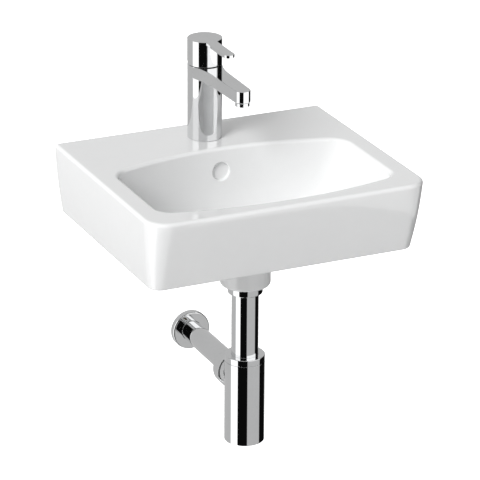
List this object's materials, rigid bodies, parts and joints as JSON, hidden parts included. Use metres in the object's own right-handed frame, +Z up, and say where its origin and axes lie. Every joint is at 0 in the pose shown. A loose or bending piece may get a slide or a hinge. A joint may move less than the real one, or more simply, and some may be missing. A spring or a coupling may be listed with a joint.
{
  "type": "washbasin",
  "caption": "Compact wall-hung white washbasin with a single-lever chrome tap, a push-open waste and a chrome bottle trap running to the wall.",
  "frame": {"origin": "midpoint between the two wall-fixing holes, on the basin's back face", "axes": "+X to the right, +Y into the wall, +Z up; the user stands at -Y"},
  "size_m": [0.4056, 0.3639, 0.5484],
  "materials": {
    "glazed_ceramic": "gloss white glaze over fired clay",
    "chrome_plate": "polished chrome plate",
    "black_rubber": "matte moulded rubber",
    "white_plastic": "satin white plastic",
    "dark_plastic": "satin dark plastic",
    "steel": "turned stainless steel",
    "brass": "machined brass",
    "cartridge_plastic": "grey engineering plastic",
    "button_chrome": "dark polished metal"
  },
  "bodies": {
    "basin": {"basin_body": "glazed_ceramic", "waste_body": "chrome_plate", "trap_union_nut": "chrome_plate", "inlet_tube": "chrome_plate", "trap_cap": "chrome_plate", "trap_body": "chrome_plate", "outlet_nut": "chrome_plate", "outlet_sleeve": "chrome_plate", "wall_tube": "chrome_plate", "wall_rosette": "chrome_plate", "tap_body": "chrome_plate", "aerator_housing": "chrome_plate", "waste_top_gasket": "black_rubber", "waste_bottom_gasket": "black_rubber", "union_gasket": "black_rubber", "trap_cap_seal": "black_rubber", "outlet_seal": "black_rubber", "rosette_seal": "black_rubber", "tap_base_gasket": "black_rubber", "tap_rubber_washer": "black_rubber", "aerator_seal": "black_rubber", "cartridge_seals": "black_rubber", "waste_washer": "white_plastic", "aerator_insert": "white_plastic", "click_housing": "white_plastic", "seam_ring": "dark_plastic", "tap_steel_washer": "steel", "click_spring": "steel", "tap_stud": "steel", "waste_backnut": "brass", "tap_nut": "brass", "cartridge_nut": "brass", "cartridge_body": "cartridge_plastic"},
    "plug": {"plug_cap": "chrome_plate", "plug_seal": "black_rubber", "plug_stem": "steel"},
    "mixer_rotor": {"cartridge_rotor": "dark_plastic", "lever_pin": "steel"},
    "handle": {"tap_handle": "chrome_plate", "cartridge_stem": "steel", "handle_screw": "steel", "handle_button": "button_chrome"}
  },
  "joints": [
    {"name": "plug_slide", "type": "slide", "parent": "basin", "child": "plug", "axis": [0, 0, 1], "range_m": [0, 0.009], "deforming": ["click_spring"]},
    {"name": "handle_swivel", "type": "hinge", "parent": "basin", "child": "mixer_rotor", "pos_m": [0, -0.054, 0.1735], "axis": [0, 0, 1], "range_deg": [-50, 50]},
    {"name": "handle_lift", "type": "hinge", "parent": "mixer_rotor", "child": "handle", "pos_m": [0, -0.054, 0.1735], "axis": [-1, 0, 0], "range_deg": [0, 25]}
  ]
}
